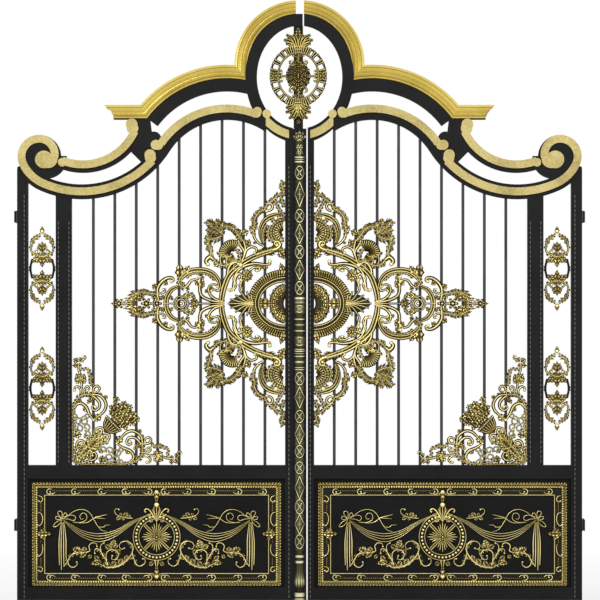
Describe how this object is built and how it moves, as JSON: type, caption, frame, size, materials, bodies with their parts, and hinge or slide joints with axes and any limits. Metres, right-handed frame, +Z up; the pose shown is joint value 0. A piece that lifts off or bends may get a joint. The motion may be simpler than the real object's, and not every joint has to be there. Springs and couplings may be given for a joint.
{
  "type": "double-leaf driveway gate",
  "caption": "Arched double-leaf wrought iron driveway gate with upright bars, scrolled crest, pierced gold castings, a centre column and relief panels.",
  "frame": {"origin": "middle of the wall face of the lower left hinge plate, in the mid plane of the leaves", "axes": "+X to the right seen from the front, +Y to the back, the way the leaves open, +Z up"},
  "size_m": [3.638, 0.1089, 3.8222],
  "materials": {
    "black_paint": "satin black paint",
    "gold_cornice": "gold paint, satin",
    "pale_gold": "pale gold paint, satin",
    "patina_gold": "gold brushed over dark patina",
    "hinge_steel": "bright pin"
  },
  "bodies": {
    "hinge_brackets": {"left_wall_hinge_plates": "black_paint", "right_wall_hinge_plates": "black_paint", "left_hinge_pins": "hinge_steel", "right_hinge_pins": "hinge_steel"},
    "left_leaf": {"left_hinge_stile": "black_paint", "left_pilaster_post": "black_paint", "left_meeting_stile": "black_paint", "left_bottom_rail": "black_paint", "left_middle_rail": "black_paint", "left_panel_sheet": "black_paint", "left_panel_frame": "patina_gold", "left_panel_relief": "patina_gold", "left_crest_rail": "black_paint", "left_cornice": "gold_cornice", "left_scroll_strips": "pale_gold", "left_bars": "black_paint", "left_centre_casting": "patina_gold", "left_corner_casting": "patina_gold", "left_pilaster_castings": "patina_gold", "left_gate_hinge_plates": "black_paint", "column_bar": "black_paint", "centre_column": "patina_gold", "oval_bar": "black_paint", "oval_medallion": "patina_gold"},
    "right_leaf": {"right_hinge_stile": "black_paint", "right_pilaster_post": "black_paint", "right_meeting_stile": "black_paint", "right_bottom_rail": "black_paint", "right_middle_rail": "black_paint", "right_panel_sheet": "black_paint", "right_panel_frame": "patina_gold", "right_panel_relief": "patina_gold", "right_crest_rail": "black_paint", "right_cornice": "gold_cornice", "right_scroll_strips": "pale_gold", "right_bars": "black_paint", "right_centre_casting": "patina_gold", "right_corner_casting": "patina_gold", "right_pilaster_castings": "patina_gold", "right_gate_hinge_plates": "black_paint"}
  },
  "joints": [
    {"name": "left_leaf_swing", "type": "hinge", "parent": "hinge_brackets", "child": "left_leaf", "pos_m": [0.0095, 0.045, 0], "axis": [0, 0, 1], "range_deg": [0, 90]},
    {"name": "right_leaf_swing", "type": "hinge", "parent": "hinge_brackets", "child": "right_leaf", "pos_m": [3.6285, 0.045, 0], "axis": [0, 0, -1], "range_deg": [0, 90]}
  ]
}
